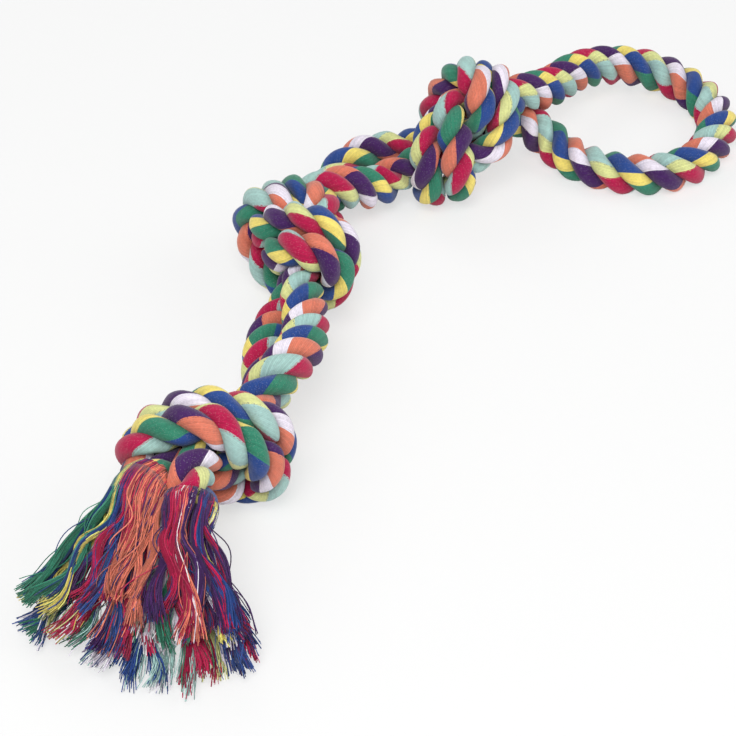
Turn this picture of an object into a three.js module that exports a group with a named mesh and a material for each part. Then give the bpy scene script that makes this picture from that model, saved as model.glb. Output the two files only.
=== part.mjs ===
// Rope dog toy: one multicoloured three-strand cotton rope, folded in half, with three overhand knots tied in
// the doubled rope. The fold is a hand loop, and the two free ends are combed out into a tassel.
// Millimetres, +Z up, lying on the plane z = 0 with the loop toward +X.
// The origin is below the middle of the toy's box.
import * as THREE from "three";

// Rope sizes
const ROPE_D = 20; // free rope
const KNOT_ROPE_D = 0.92 * ROPE_D; // rope pulled thin inside a knot
const ROPE_SIDES = 12;
const RING_STEP = 5; // along the rope
const STUB_RING_STEP = 3; // along the stubs, which turn sharply
const TRACK_STEP = 2.5; // of the points that stand for the rope where two passes press on each other
const TAPER = 14; // over which the rope thins into a knot
const PIECE_GAP = 0.3; // between two pieces that meet end to end
const PRESS_GAP = 1; // between the middles of two passes' flats, before their facets
const FLAT_DEPTH = ROPE_D / 10; // how far the soft rope is pressed flat by the floor

// Knot sizes: a knot is pulled tight in units of one rope, and its soft rope is then squeezed to these units
const KNOT_ACROSS = 0.717 * KNOT_ROPE_D;
const KNOT_ALONG = 0.685 * KNOT_ROPE_D;
const KNOT_REACH = 2.4; // units from the knot's centre to where its two ropes leave it

// Where the knots lie on the floor: x and y are where a knot's ropes leave it on the loop's side, heading is
// the way that they leave, and roll turns the knot about its axis
const LOOP_KNOT = { x: 187, y: 49, heading: -38, roll: 235 };
const MIDDLE_KNOT = { x: 73.5, y: 80.5, heading: 14, roll: 165 };
const TASSEL_KNOT = { x: -54, y: 27.5, heading: 22, roll: 30 };

// Between two knots the pair of ropes lies over to the side, by this many degrees halfway
const SPAN_LEAN = -38;

// The hand loop: x, y and how high the rope's underside is above the floor, from leg a round to leg b
const LOOP_POINTS = [
  [206, 40, 4],
  [204, 23, 0],
  [205, 7, 0],
  [211, -8, 0],
  [222, -20, 0],
  [239, -27, 0],
  [257, -26, 0],
  [273.5, -20.5, 0],
  [289, -6, 0],
  [295, 13, 2],
  [290, 32.5, 6],
  [276, 47, 10],
  [254, 54, 15],
  [226, 53.5, 20],
];
const LOOP_LEAD = 1; // how far each leg runs straight out of the knot
const LOOP_NECK = 36; // the bending stretch of each leg between the knot and the loop

// The tassel
const TASSEL_HEADING = 24; // the fan's middle line, seen from its tips
const STUB_LENGTH = 17; // rope below the last knot
const STUB_SQUARE = 7; // the end of the stub, square to the yarn
const STUB_GAP = 1.2; // between the two stubs
const STUB_SPREAD = (ROPE_D + STUB_GAP) / 2; // of each stub from the middle line
const TUFT_PITCH = 0.31 * ROPE_D; // three yarn bundles across one stub
const TUFT_LENGTH = 58;
const TUFT_SPREAD = 43; // degrees of the fan to each side
const TUFT_TIP_THICKNESS = 6.6;
const TUFT_GAP = 0.045; // of a bundle's share of the fan, at each side
const TUFT_SIDES = 10;
const TUFT_RINGS = 7;

// Yarn colours
const COLOURS = {
  blue: 0x2a4a95,
  yellow: 0xf0dc6e,
  green: 0x2f8a5b,
  orange: 0xd9734f,
  white: 0xe8e0ee,
  purple: 0x4a2566,
  mint: 0x9ccfbe,
  lime: 0xcfe08a,
  red: 0xb81d4d,
};
// The tassel's tufts: one column for each strand, leg a's three and then leg b's, from left to right.
// A strand's three colours lie on each other, from the floor up.
const TUFT_COLUMNS = [
  ["blue", "yellow", "green"],
  ["mint", "lime", "red"],
  ["white", "purple", "orange"],
  ["blue", "mint", "red"],
  ["lime", "green", "orange"],
  ["white", "yellow", "purple"],
];
const ROPE_COLOUR = { a: "mint", b: "orange", loop: "blue" };

const UP = new THREE.Vector3(0, 0, 1);
const radians = THREE.MathUtils.degToRad;
const clamp = THREE.MathUtils.clamp;
const smoothstep = THREE.MathUtils.smoothstep;

// A loose doubled overhand knot along z, in rope widths: the open trefoil's polynomial, run once for each leg
function looseKnot(count, reach) {
  const scale = 2.2;
  const path = [];
  const last = 2;
  const at = (t) =>
    new THREE.Vector3(
      -scale * (t ** 3 - 3 * t),
      scale * (t ** 4 - 4 * t ** 2 + 2),
      0.5 * scale * (t ** 5 - 10 * t),
    );
  const lead = (end, side) => new THREE.Vector3(end.x / 4, end.y / 4, side * reach);
  path.push(lead(at(-last), -1));
  for (let k = 0; k <= 400; k++) path.push(at(-last + (2 * last * k) / 400));
  path.push(lead(at(last), 1));
  const centre = evenly(path, count);
  const legs = [[], []];
  let side = new THREE.Vector3(-1, 0, 0);
  centre.forEach((point, k) => {
    side = sideways(side, tangentAt(centre, k));
    legs[0].push(point.clone().addScaledVector(side, 0.5));
    legs[1].push(point.clone().addScaledVector(side, -0.5));
  });
  return legs;
}

// Points spread evenly along a polyline
function evenly(points, count) {
  const at = [0];
  for (let k = 1; k < points.length; k++) at.push(at[k - 1] + points[k].distanceTo(points[k - 1]));
  const length = at[at.length - 1];
  const out = [];
  let k = 0;
  for (let i = 0; i < count; i++) {
    const s = (length * i) / (count - 1);
    while (k < points.length - 2 && at[k + 1] < s) k++;
    const share = clamp((s - at[k]) / (at[k + 1] - at[k]), 0, 1);
    out.push(points[k].clone().lerp(points[k + 1], share));
  }
  return out;
}

function tangentAt(points, k) {
  const before = points[Math.max(0, k - 1)];
  const after = points[Math.min(points.length - 1, k + 1)];
  return after.clone().sub(before).normalize();
}

// A direction carried along a path without twist
function sideways(direction, tangent) {
  return direction.clone().addScaledVector(tangent, -direction.dot(tangent)).normalize();
}

// Pulls the loose knot tight. The ends are drawn in to a fixed reach while the rope shortens. The two legs
// stay side by side, no pass comes nearer to another than one rope, and no bend is sharper than the rope allows.
function tightKnot() {
  const count = 150;
  const looseReach = 14.5;
  const tightReach = 6;
  const steps = 1500;
  const rounds = 8;
  const sharpest = 0.6;
  const tension = 0.03;
  const stiffness = 0.003;
  const legs = looseKnot(count, looseReach);
  const points = [...legs[0], ...legs[1]];
  const total = points.length;
  const isEnd = (i) => i % count === 0 || i % count === count - 1;
  const shareOf = points.map((_, i) => (isEnd(i) ? 0 : 1));
  let step = 0;
  for (let i = 1; i < count; i++) step += points[i].distanceTo(points[i - 1]) / (count - 1);
  const gap = new THREE.Vector3();
  const pull = (i, j, amount) => {
    points[i].addScaledVector(gap, amount * shareOf[i]);
    points[j].addScaledVector(gap, -amount * shareOf[j]);
  };
  let near = [];
  for (let n = 0; n < steps; n++) {
    const reach = looseReach + (tightReach - looseReach) * Math.min(1, n / (0.35 * steps));
    for (const leg of [0, count]) {
      points[leg].z = -reach;
      points[leg + count - 1].z = reach;
    }
    let stretch = 0;
    for (const leg of [0, count])
      for (let i = leg + 1; i < leg + count; i++) stretch += points[i].distanceTo(points[i - 1]) / step - 1;
    if (stretch / (total - 2) < tension) step *= 0.996;
    if (n % 8 === 0) near = nearPairs(points, count, step);
    const shortest = 2 * sharpest * Math.sin(Math.min(Math.PI / 2, step / sharpest));
    for (let round = 0; round < rounds; round++) {
      for (const first of [0, 1])
        for (const leg of [0, count])
          for (let i = leg + first; i < leg + count - 1; i += 2) {
            gap.subVectors(points[i + 1], points[i]);
            pull(i, i + 1, (0.5 * (gap.length() - step)) / gap.length());
          }
      for (const first of [1, 2, 3])
        for (const leg of [0, count])
          for (let i = leg + first; i < leg + count - 1; i += 3)
            bend(points, shareOf, i, shortest, stiffness);
      for (let i = 1; i < count - 1; i++) {
        gap.subVectors(points[i + count], points[i]);
        pull(i, i + count, (0.25 * (gap.length() - 1)) / gap.length());
      }
      pushApart(points, shareOf, near);
    }
  }
  return [points.slice(0, count), points.slice(count)];
}

// Pairs of points of different passes that are close enough to touch soon
function nearPairs(points, count, step) {
  const pairs = [];
  for (let i = 0; i < points.length; i++)
    for (let j = i + 1; j < points.length; j++) {
      const sameLeg = i < count === j < count;
      if (sameLeg && (j - i) * step < 1.5) continue;
      if (points[i].distanceTo(points[j]) < 1.5) pairs.push([i, j]);
    }
  return pairs;
}

// Straightens the rope a little at one point, and more where it is bent too sharply
function bend(points, shareOf, i, shortest, stiffness) {
  const before = points[i - 1];
  const after = points[i + 1];
  const chord = after.clone().sub(before);
  const length = chord.length();
  const sag = before.clone().add(after).multiplyScalar(0.5).sub(points[i]).multiplyScalar(stiffness);
  points[i].add(sag);
  after.addScaledVector(sag, -0.5 * shareOf[i + 1]);
  before.addScaledVector(sag, -0.5 * shareOf[i - 1]);
  if (length >= shortest) return;
  const amount = (0.5 * (shortest - length)) / length;
  after.addScaledVector(chord, amount * shareOf[i + 1]);
  before.addScaledVector(chord, -amount * shareOf[i - 1]);
}

// Moves passes that cut into each other apart again
function pushApart(points, shareOf, pairs) {
  const moves = points.map(() => new THREE.Vector3());
  const touches = points.map(() => 0);
  const gap = new THREE.Vector3();
  for (const [i, j] of pairs) {
    gap.subVectors(points[j], points[i]);
    const length = gap.length();
    if (length >= 1) continue;
    const amount = (0.5 * (1 - length)) / length;
    moves[i].addScaledVector(gap, -amount);
    moves[j].addScaledVector(gap, amount);
    touches[i]++;
    touches[j]++;
  }
  points.forEach((p, i) => p.addScaledVector(moves[i], shareOf[i] / Math.max(1, 0.6 * touches[i])));
}

// A tight knot laid on the floor: the two legs' points, from the loop's side to the tassel's side
function layKnot(knot, spec) {
  const roll = radians(spec.roll);
  const heading = radians(spec.heading);
  const axis = new THREE.Vector3(Math.cos(heading), Math.sin(heading), 0);
  const left = new THREE.Vector3(-axis.y, axis.x, 0);
  const turned = knot.map((leg) =>
    leg
      .filter((p) => Math.abs(p.z) <= KNOT_REACH)
      .map((p) => {
        const across = KNOT_ACROSS * (p.x * Math.cos(roll) - p.y * Math.sin(roll));
        const high = KNOT_ACROSS * (p.x * Math.sin(roll) + p.y * Math.cos(roll));
        return new THREE.Vector3(spec.x, spec.y, high)
          .addScaledVector(left, across)
          .addScaledVector(axis, KNOT_ALONG * (p.z - KNOT_REACH));
      })
      .reverse(),
  );
  const resting = turned.map((leg) => smooth(evenly(leg, trackSteps(leg) + 1)));
  const lowest = Math.min(...resting.flat().map((p) => p.z));
  turned.flat().forEach((p) => (p.z += KNOT_ROPE_D / 2 - FLAT_DEPTH - lowest));
  return turned;
}

// The two legs from one knot to the next: they run side by side along a curve that leaves both knots in line.
// The pair turns about that curve, from how it leaves one knot to how it enters the other.
function spanPair(from, to) {
  const starts = from.map((leg) => leg[leg.length - 1]);
  const ends = to.map((leg) => leg[0]);
  const start = starts[0].clone().lerp(starts[1], 0.5);
  const end = ends[0].clone().lerp(ends[1], 0.5);
  const leave = meanDirection(from.map((leg) => [leg[leg.length - 4], leg[leg.length - 1]]));
  const arrive = meanDirection(to.map((leg) => [leg[0], leg[3]]));
  const reach = start.distanceTo(end) / 3;
  const middle = new THREE.CubicBezierCurve3(
    start,
    start.clone().addScaledVector(leave, reach),
    end.clone().addScaledVector(arrive, -reach),
    end,
  ).getSpacedPoints(20);
  const sides = [starts[1].clone().sub(start)];
  for (let k = 1; k < middle.length; k++) sides.push(sideways(sides[k - 1], tangentAt(middle, k)));
  const last = sideways(ends[1].clone().sub(end), arrive);
  const turn = turnAbout(arrive, sides[sides.length - 1], last);
  const legs = [[], []];
  middle.forEach((point, k) => {
    const share = k / (middle.length - 1);
    const atKnots = THREE.MathUtils.lerp(starts[0].distanceTo(starts[1]), ends[0].distanceTo(ends[1]), share);
    const apart = THREE.MathUtils.lerp(atKnots, ROPE_D + PRESS_GAP, 1 - (2 * share - 1) ** 4);
    const tangent = tangentAt(middle, k);
    const angle = turn * smoothstep(share, 0, 1) + radians(SPAN_LEAN) * Math.sin(Math.PI * share);
    const side = sideways(sides[k], tangent).applyAxisAngle(tangent, angle);
    legs[0].push(point.clone().addScaledVector(side, -apart / 2));
    legs[1].push(point.clone().addScaledVector(side, apart / 2));
  });
  return legs;
}

// The mean direction of pairs of points
function meanDirection(pairs) {
  const sum = new THREE.Vector3();
  for (const [from, to] of pairs) sum.add(to.clone().sub(from).normalize());
  return sum.normalize();
}

// The angle about an axis from one direction to another
function turnAbout(axis, from, to) {
  return Math.atan2(from.clone().cross(to).dot(axis), from.dot(to));
}

// The whole rope as named stretches, from the tassel up leg a, round the loop and down leg b
function ropeStretches() {
  const knot = tightKnot();
  const loopKnot = layKnot(knot, LOOP_KNOT);
  const middleKnot = layKnot(knot, MIDDLE_KNOT);
  // In the last knot the legs change places, which keeps the span above it from twisting
  const tasselKnot = layKnot(knot, TASSEL_KNOT).reverse();
  const upper = spanPair(loopKnot, middleKnot);
  const lower = spanPair(middleKnot, tasselKnot);
  const tassel = tasselFrame(tasselKnot);
  const legs = ["a", "b"].map((leg, k) => {
    const high = loopKnot[k];
    const mid = middleKnot[k];
    const low = tasselKnot[k];
    return [
      { name: "loop_knot_" + leg, knot: true, points: high },
      { name: "upper_span_" + leg, points: upper[k] },
      { name: "middle_knot_" + leg, knot: true, points: mid },
      { name: "lower_span_" + leg, points: lower[k] },
      { name: "tassel_knot_" + leg, knot: true, points: low },
      { name: "tassel_neck_" + leg, points: neck(low, tassel, k === 0 ? 1 : -1), stub: true },
    ];
  });
  const loop = loopStretches(loopKnot[0], loopKnot[1]);
  const upLegA = legs[0].map((s) => ({ ...s, points: [...s.points].reverse() })).reverse();
  return { stretches: [...upLegA, ...loop, ...legs[1]], tassel };
}

// The tassel's frame: the middle of the two stubs' ends, and its directions back to the knot and to the left
function tasselFrame(tasselKnot) {
  const heading = radians(TASSEL_HEADING);
  const axis = new THREE.Vector3(Math.cos(heading), Math.sin(heading), 0);
  const left = new THREE.Vector3(-axis.y, axis.x, 0);
  const exits = tasselKnot.map((leg) => leg[leg.length - 1]);
  const middle = exits[0].clone().add(exits[1]).multiplyScalar(0.5);
  middle.addScaledVector(axis, -STUB_LENGTH);
  return { middle, axis, left };
}

// The stub of one leg below the last knot
function neck(points, tassel, side) {
  const start = points[points.length - 1];
  const leave = start.clone().sub(points[points.length - 4]).normalize();
  const end = tassel.middle.clone().addScaledVector(tassel.left, side * STUB_SPREAD);
  const square = end.clone().addScaledVector(tassel.axis, STUB_SQUARE);
  const reach = start.distanceTo(square) / 3;
  const curve = new THREE.CubicBezierCurve3(
    start,
    start.clone().addScaledVector(leave, reach),
    square.clone().addScaledVector(tassel.axis, reach),
    square,
  );
  return [...curve.getSpacedPoints(8), end];
}

// The loop from leg a's exit to leg b's, cut into the two necks and the hand loop
function loopStretches(legA, legB) {
  const high = ROPE_D / 2 - FLAT_DEPTH;
  const curve = new THREE.CatmullRomCurve3(
    [
      legA[0],
      leadOut(legA),
      ...LOOP_POINTS.map(([x, y, lift]) => new THREE.Vector3(x, y, high + lift)),
      leadOut(legB),
      legB[0],
    ],
    false,
    "centripetal",
  );
  const points = curve.getSpacedPoints(160);
  const count = Math.round((160 * LOOP_NECK) / curve.getLength());
  return [
    { name: "loop_neck_a", points: points.slice(0, count + 1) },
    { name: "hand_loop", points: points.slice(count, 161 - count) },
    { name: "loop_neck_b", points: points.slice(160 - count) },
  ];
}

// A point straight out of the knot on the loop's side
function leadOut(leg) {
  const leave = leg[0].clone().sub(leg[3]).normalize();
  return leg[0].clone().addScaledVector(leave, LOOP_LEAD);
}

// The middle line of the whole rope: even points, each with its direction, an untwisted side and its bend
function ropeTrack(stretches) {
  const track = [];
  let along = 0;
  for (const stretch of stretches) {
    stretch.length = lengthOf(stretch.points);
    stretch.start = along;
    const count = trackSteps(stretch.points);
    evenly(stretch.points, count + 1).forEach((p, k) => {
      if (k > 0 || track.length === 0) track.push({ p, s: along + (stretch.length * k) / count });
    });
    along += stretch.length;
  }
  smooth(track.map((t) => t.p));
  let side = UP.clone();
  track.forEach((t, k) => {
    const before = track[Math.max(0, k - 1)];
    const after = track[Math.min(track.length - 1, k + 1)];
    t.tangent = after.p.clone().sub(before.p).normalize();
    side = sideways(side, t.tangent);
    t.side = side.clone();
    t.curve = curvatureAt(track, k);
  });
  return track;
}

function lengthOf(points) {
  let length = 0;
  for (let k = 1; k < points.length; k++) length += points[k].distanceTo(points[k - 1]);
  return length;
}

function trackSteps(points) {
  return Math.max(2, Math.round(lengthOf(points) / TRACK_STEP));
}

// Rounds the corners of a row of points, where two stretches meet
function smooth(points) {
  for (let pass = 0; pass < 3; pass++) {
    const old = points.map((p) => p.clone());
    for (let k = 1; k < points.length - 1; k++)
      points[k].copy(old[k - 1]).addScaledVector(old[k], 2).add(old[k + 1]).multiplyScalar(0.25);
  }
  return points;
}

// The vector from a point of the track to its centre of curvature, over the radius squared
function curvatureAt(track, k) {
  const reach = 2;
  const before = track[k - reach];
  const after = track[k + reach];
  if (!before || !after) return new THREE.Vector3();
  const half = (after.s - before.s) / 2;
  return before.p
    .clone()
    .add(after.p)
    .addScaledVector(track[k].p, -2)
    .divideScalar(half * half);
}

// The track's point, frame and curvature at a length along the rope
function trackAt(track, s) {
  let k = 0;
  while (k < track.length - 2 && track[k + 1].s < s) k++;
  const share = clamp((s - track[k].s) / (track[k + 1].s - track[k].s), 0, 1);
  const mix = (key) => track[k][key].clone().lerp(track[k + 1][key], share);
  const tangent = mix("tangent").normalize();
  return { p: mix("p"), tangent, side: sideways(mix("side"), tangent), curve: mix("curve"), s };
}

// The rope's own radius, which shrinks as it nears a knot
function ropeRadius(stretches, s) {
  const knots = stretches.filter((stretch) => stretch.knot);
  const away = knots.map((knot) => Math.max(knot.start - s, s - knot.start - knot.length));
  return THREE.MathUtils.lerp(KNOT_ROPE_D, ROPE_D, smoothstep(Math.min(...away), 0, TAPER)) / 2;
}

// How far the rope's surface lies from its middle in one direction: less where another pass presses on it
function pressedRadius(track, at, direction, radius) {
  let r = radius;
  const inward = at.curve.dot(direction);
  if (inward > 0) r = Math.min(r, 0.8 / inward);
  const gap = new THREE.Vector3();
  for (const other of track) {
    if (Math.abs(other.s - at.s) < 1.5 * KNOT_ROPE_D) continue;
    gap.subVectors(other.p, at.p);
    const distance = gap.length();
    if (distance > 2 * ROPE_D) continue;
    const toward = gap.dot(direction) / distance;
    if (toward > 0) r = Math.min(r, (distance - PRESS_GAP) / 2 / toward);
  }
  return r;
}

// One stretch of rope, pressed flat where another pass meets it and where it lies on the floor
function ropeMesh(track, stretches, stretch) {
  const step = stretch.stub ? STUB_RING_STEP : RING_STEP;
  const steps = Math.max(2, Math.round(stretch.length / step));
  const rings = [];
  for (let k = 0; k <= steps; k++) {
    const inset = PIECE_GAP / 2;
    const s = clamp((stretch.length * k) / steps, inset, stretch.length - inset);
    const at = trackAt(track, stretch.start + s);
    const up = at.tangent.clone().cross(at.side);
    const radius = ropeRadius(stretches, at.s);
    const ring = [];
    for (let j = 0; j < ROPE_SIDES; j++) {
      const angle = (2 * Math.PI * j) / ROPE_SIDES;
      const direction = at.side.clone().multiplyScalar(Math.cos(angle)).addScaledVector(up, Math.sin(angle));
      const point = at.p.clone().addScaledVector(direction, pressedRadius(track, at, direction, radius));
      point.z = Math.max(0, point.z);
      ring.push(point);
    }
    rings.push(ring);
  }
  const leg = stretch.name === "hand_loop" ? "loop" : stretch.name.slice(-1);
  return named(stretch.name, loft(rings), COLOURS[ROPE_COLOUR[leg]]);
}

// A closed skin over a row of rings with equal counts, wound so that it faces out
function loft(rings) {
  const sides = rings[0].length;
  const positions = [];
  const index = [];
  rings.flat().forEach((p) => positions.push(p.x, p.y, p.z));
  for (let k = 0; k + 1 < rings.length; k++)
    for (let j = 0; j < sides; j++) {
      const a = k * sides + j;
      const b = k * sides + ((j + 1) % sides);
      index.push(a, b, b + sides, a, b + sides, a + sides);
    }
  for (const [ring, flip] of [
    [0, true],
    [rings.length - 1, false],
  ]) {
    const middle = positions.length / 3;
    const centre = new THREE.Vector3();
    rings[ring].forEach((p) => centre.addScaledVector(p, 1 / sides));
    positions.push(centre.x, centre.y, centre.z);
    for (let j = 0; j < sides; j++) {
      const a = ring * sides + j;
      const b = ring * sides + ((j + 1) % sides);
      index.push(middle, flip ? b : a, flip ? a : b);
    }
  }
  const geometry = new THREE.BufferGeometry();
  geometry.setAttribute("position", new THREE.Float32BufferAttribute(positions, 3));
  geometry.setIndex(index);
  geometry.computeVertexNormals();
  return geometry;
}

// A mesh with its name and a matt cotton material
function named(name, geometry, colour) {
  const material = new THREE.MeshStandardMaterial({ color: colour, roughness: 0.95, metalness: 0 });
  const mesh = new THREE.Mesh(geometry, material);
  mesh.name = name;
  return mesh;
}

// The combed yarn fans out from the two stubs onto the floor. A place in it is given by u across, from -3 to
// 3, v up, from 0 to 3, and t along, so neighbouring tufts keep their places all the way.
function tasselPoint({ middle, axis, left }, u, v, t) {
  const between = STUB_SPREAD - 1.5 * TUFT_PITCH; // half the gap between the two stubs
  const across = u * TUFT_PITCH + clamp(u, -1, 1) * between;
  const start = middle
    .clone()
    .addScaledVector(axis, -PIECE_GAP)
    .addScaledVector(left, across)
    .addScaledVector(UP, (v - 1.5) * TUFT_PITCH);
  const angle = (radians(TUFT_SPREAD) * u) / 3;
  const out = axis.clone().negate().multiplyScalar(Math.cos(angle)).addScaledVector(left, Math.sin(angle));
  const end = start.clone().addScaledVector(out, TUFT_LENGTH);
  end.z = v * TUFT_TIP_THICKNESS;
  const curve = new THREE.CubicBezierCurve3(
    start,
    start.clone().addScaledVector(axis, -0.3 * TUFT_LENGTH),
    end.clone().addScaledVector(out, -0.45 * TUFT_LENGTH),
    end,
  );
  return curve.getPoint(t);
}

// One bundle of combed yarn: leg a's three columns are left of the middle line and leg b's are right of it
function tuftMesh(tassel, place, row) {
  const leg = place < 3 ? "a" : "b";
  const colour = TUFT_COLUMNS[place][row];
  const column = 2 - place;
  const length = 0.93 + 0.07 * Math.sin(5 * column + 2.3 * row);
  const rings = [];
  for (let k = 0; k < TUFT_RINGS; k++) {
    const t = (length * k) / (TUFT_RINGS - 1);
    const ring = [];
    for (let j = 0; j < TUFT_SIDES; j++) {
      const angle = (2 * Math.PI * j) / TUFT_SIDES;
      const round = (x) => Math.sign(x) * Math.abs(x) ** 0.6;
      const half = 0.5 - TUFT_GAP;
      const u = column + 0.5 + half * round(Math.cos(angle));
      const v = row + 0.5 - half * round(Math.sin(angle));
      ring.push(tasselPoint(tassel, u, v, t));
    }
    rings.push(ring);
  }
  return named("tuft_" + leg + "_" + colour, loft(rings), COLOURS[colour]);
}

function buildToy() {
  const toy = new THREE.Group();
  const { stretches, tassel } = ropeStretches();
  const track = ropeTrack(stretches);
  for (const stretch of stretches) toy.add(ropeMesh(track, stretches, stretch));
  for (let place = 0; place < TUFT_COLUMNS.length; place++)
    for (let row = 0; row < 3; row++) toy.add(tuftMesh(tassel, place, row));
  const box = new THREE.Box3().setFromObject(toy, true);
  const middle = box.getCenter(new THREE.Vector3());
  toy.children.forEach((mesh) => mesh.position.set(-middle.x, -middle.y, 0));
  return toy;
}

export default buildToy();
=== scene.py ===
"""Rope dog toy: lays three-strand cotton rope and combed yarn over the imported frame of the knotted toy."""
import math

import bmesh
import bpy
import numpy as np
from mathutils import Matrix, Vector


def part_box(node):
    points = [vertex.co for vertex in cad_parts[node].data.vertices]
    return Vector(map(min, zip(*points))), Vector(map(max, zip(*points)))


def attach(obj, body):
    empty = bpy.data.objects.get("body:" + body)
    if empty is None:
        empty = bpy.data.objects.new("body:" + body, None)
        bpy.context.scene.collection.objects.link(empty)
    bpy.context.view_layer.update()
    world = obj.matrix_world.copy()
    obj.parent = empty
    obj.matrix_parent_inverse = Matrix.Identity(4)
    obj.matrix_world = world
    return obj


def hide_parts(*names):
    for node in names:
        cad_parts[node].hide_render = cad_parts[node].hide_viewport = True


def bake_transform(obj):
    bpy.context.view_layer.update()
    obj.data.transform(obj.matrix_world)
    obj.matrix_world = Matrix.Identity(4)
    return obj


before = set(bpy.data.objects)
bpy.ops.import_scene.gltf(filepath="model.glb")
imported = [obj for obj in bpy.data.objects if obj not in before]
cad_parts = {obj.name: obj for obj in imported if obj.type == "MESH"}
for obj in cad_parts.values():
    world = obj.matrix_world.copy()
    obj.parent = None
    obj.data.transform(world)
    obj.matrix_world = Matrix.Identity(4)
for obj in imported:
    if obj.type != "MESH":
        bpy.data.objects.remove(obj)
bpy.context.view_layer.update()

bl_info = {
    "name": "Rope Dog Toy",
    "version": (1, 0, 0),
    "blender": (4, 5, 0),
    "location": "3D View > Sidebar > Rope Toy",
    "description": "Lays the strands and combs out the yarn of a knotted rope toy",
    "category": "Object",
}

# One leg's stretches of rope, from its combed end to the loop
LEG_ORDER = "tassel_neck tassel_knot lower_span middle_knot upper_span loop_knot loop_neck".split()
# The whole rope's stretches, from leg a's combed end round the loop to leg b's
ROPE_ORDER = [
    *(stretch + "_a" for stretch in LEG_ORDER),
    "hand_loop",
    *(stretch + "_b" for stretch in reversed(LEG_ORDER)),
]
KNOTS = ["loop_knot", "middle_knot", "tassel_knot"]
# Each bending stretch, with the bodies that it joins in order
SPANS = {
    "upper_span": ("middle_knot", "upper_span", "loop_knot"),
    "lower_span": ("middle_knot", "lower_span", "tassel_knot"),
}
NECKS = {
    "loop_neck": ("loop_knot", "loop_neck", "loop"),
    "tassel_neck": ("tassel_knot", "tassel_neck", "tassel"),
}

# Meshes
ROPE_SIDES = 12  # of the frame's rope
TUFT_SIDES = 10  # of the frame's tufts
SEAM = 1e-6  # metres within which two corners are one
NO_LENGTH = 1e-12
STRANDS = 3
STRAND_COLUMNS = 20  # faces round the part of a strand that shows
CORD_POINTS = 61
BLEND_LEAST = 0.3  # share of a piece that its end rings have to leave free
BLEND_MIDDLE = (0.3, 0.7)  # shares between which the line lies where they don't
ROPE_UV = "Rope"
BAKE_UV = "OFBake"
DYE = "Dye"
SKIN_NORMAL = "skin_normal"

# The dyes of the three strands, in the order that their yarns lie round the strand
STRAND_DYES = ["yellow green blue", "lime red mint", "white purple orange"]
DYE_SHARES = (0.21, 0.41, 0.38)  # of a strand's yarns
DYE_FRINGE = 0.07  # share of a strand that one dye's fibres reach into the next

# Rope cotton
ROPE_CLOTH = {"Roughness": 0.92, "Specular IOR Level": 0.2, "Sheen Weight": 0.25, "Sheen Roughness": 0.5}
ROPE_TONE = 0.64
# Weights of the rope's tone: yarn, fibre and heather are grain, and gap and groove are painted shade between
# yarns and between strands
ROPE_GRAIN_AND_SHADE = {"yarn": 0.2, "fibre": 0.3, "heather": 0.45, "gap": -0.18, "groove": -0.52}
WANDER = 0.035  # turns round the rope
YARN_SLANT = 0.9  # turns for each metre
STRAND_SHIFT = 0.06  # turns from strand to strand
FIBRE_SCALES = (260, 1100)  # round the rope, and along it
GROOVE_SHADE_POWER = 6  # keeps the painted shade close to the groove
GAP_DEPTH = 0.4
FIBRE_DEPTH = 0.6
LINT_SIZE = 0.26  # of a cell
LINT_RARE = 0.42  # patches below this have no lint
LINT_WEIGHT = 0.11
LINT_COLOUR = (0.8, 0.78, 0.8, 1)

# Combed cotton
YARN_CLOTH = {"Roughness": 0.8, "Specular IOR Level": 0.2, "Sheen Weight": 0.2, "Sheen Roughness": 0.5}
YARN_TONE = 0.28
YARN_GRAIN = {"uneven": 0.6, "fuzz": 0.85}

# Stubs that threads start on
STUB_COMBED = {"a": (0.6, 0.98), "b": (0.02, 0.4)}  # shares of a stub that threads start at
STUB_HALF = 0.5  # where a stub's two pieces meet
STUB_MARKS = (1, 0.75, 0.4, 0)  # of a thread's way to the stub's end
STUB_RISE = (0.85, 1.06)  # of the rope's radius, where a thread comes up
STUB_OVER = 1.1  # of the rope's radius, where a thread lies on it
STUB_LIFT = 0.04  # of the rope's radius, at most
STUB_DRIFT = 0.02  # turns round the stub
STUB_HEART = 0.0045  # metres from a stub's middle within which threads start at its end
JOINED = 0.25  # share of a thread by which it has joined its tuft
# Tufts whose threads start in a wide fan on the stub: turns round it to each side, and to one side
FANNED = {"a_orange": (0.16, 0.06)}
FAN_LIFT = 0.0016  # metres
FAN_OVER = 0.07  # of the rope's radius
FAN_JOINED = 0.6

# Swings of locks, yarns and threads
WAVE_SIZES = (0.35, 1.0)
WAVE_SHAPE = (1, 0.7)  # aside, and up
WAVE_DRIFT = 0.8
WAVE_GROWN = 0.4  # share of the length by which it has its size

# Locks of a tuft
LOCK_ASIDE = 0.06  # of the tuft's width
LOCK_UP = 0.3  # of the tuft's height, at most
LOCK_REACH = (1.5, 0.9)  # of its share of the tuft's width, and of the tuft's height
LOCK_LENGTHS = (0.93, 1.03)
LOCK_TWIST = 3.6  # radians, at most
LOCK_TURNS = (1.0, 2.1)  # of its sway
LOCK_YARNS = 7
LAYER_STEP = 12  # share of its length that a lock loses for each metre of its tip's height
GATHER = 0.18  # how much narrower a lock is past its root
GATHERS = (0.1, 0.6)  # shares of its length
CORE_ROWS = 12
CORE_COLUMNS = 40
CORE_LENGTH = 0.9  # of its lock's length
CORE_FULLNESS = 0.8  # of its lock's section
CORE_TIP = 0.7  # how much narrower it is at its tip
CORE_NARROWS = 0.75  # share of its length where that starts
CORE_TONES = (0.42, 0.85)  # of its yarns' dyes, by turns round the core

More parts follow.
